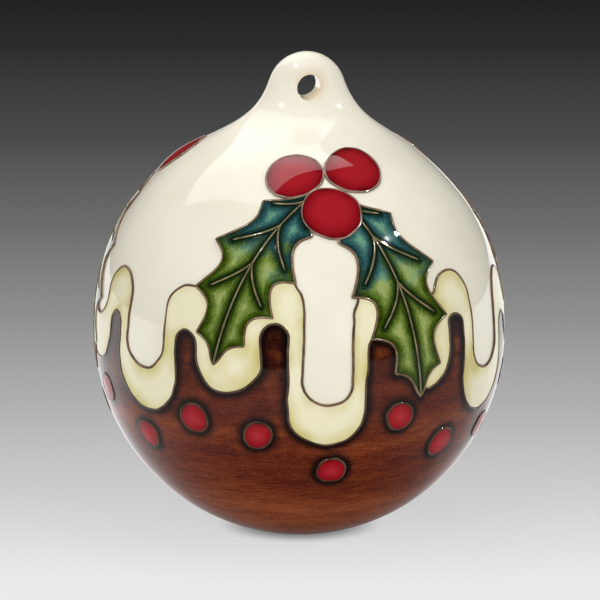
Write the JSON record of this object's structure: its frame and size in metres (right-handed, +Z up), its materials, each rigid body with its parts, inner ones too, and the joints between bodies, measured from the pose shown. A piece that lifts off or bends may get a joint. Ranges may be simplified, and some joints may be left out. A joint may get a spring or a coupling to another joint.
{
  "type": "christmas pudding bauble",
  "caption": "Glazed pottery ball ornament decorated as a christmas pudding with sauce, holly and currants, its neck moulded into a pierced hanging loop.",
  "frame": {"origin": "middle of the small flat spot under the ball, on the ball's upright axis", "axes": "+Z up from the flat spot to the loop, -Y towards the front with its sprig of holly, +X to the viewer's right; the loop's hole runs along Y"},
  "size_m": [0.085, 0.0845, 0.0991],
  "materials": {
    "glazed_pottery": "clear-glazed ivory earthenware, painted as a pudding with brown, cream, green and red glazes between raised slip lines",
    "brown_glaze": "transparent red-brown glaze brushed round the ball in level streaks, nearly black where it pools",
    "cream_glaze": "glossy pale custard-yellow glaze",
    "leaf_glaze": "glossy variegated glaze from dark teal to yellow-green",
    "red_glaze": "glossy deep red glaze",
    "slip_line": "raised line of taupe-brown clay slip under clear glaze"
  },
  "bodies": {
    "root": {"pudding_bauble": "glazed_pottery"}
  },
  "joints": []
}
